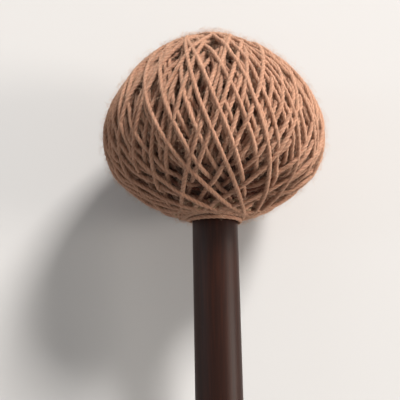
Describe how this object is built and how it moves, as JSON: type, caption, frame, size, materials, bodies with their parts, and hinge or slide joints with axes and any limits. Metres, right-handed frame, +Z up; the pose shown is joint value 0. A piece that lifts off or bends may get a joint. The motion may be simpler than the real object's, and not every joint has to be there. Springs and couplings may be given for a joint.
{
  "type": "marimba mallet",
  "caption": "Mallet for a marimba: a slim dark shaft with an oval rubber core, wound pole to pole in soft criss-cross yarn.",
  "frame": {"origin": "on the floor, under the middle of the box of the mallet as it lies on its head and butt", "axes": "+Y runs along the shaft from the butt towards the head, +Z is up, +X is across"},
  "size_m": [0.0387, 0.4048, 0.0385],
  "materials": {
    "shaft": "dark stain under a satin lacquer",
    "core_rubber": "moulded, matt",
    "latex": "smooth, natural",
    "under_yarn": "packed yarn in the shade of the outer strands",
    "yarn": "soft plied yarn, slightly fuzzy",
    "thread": "fine twisted thread"
  },
  "bodies": {
    "root": {"shaft": "shaft", "core": "core_rubber", "latex_sleeve": "latex", "under_winding": "under_yarn", "anchor_wraps": "yarn", "outer_winding": "yarn", "crown_stitch": "thread", "neck_stitch": "thread"}
  },
  "joints": []
}
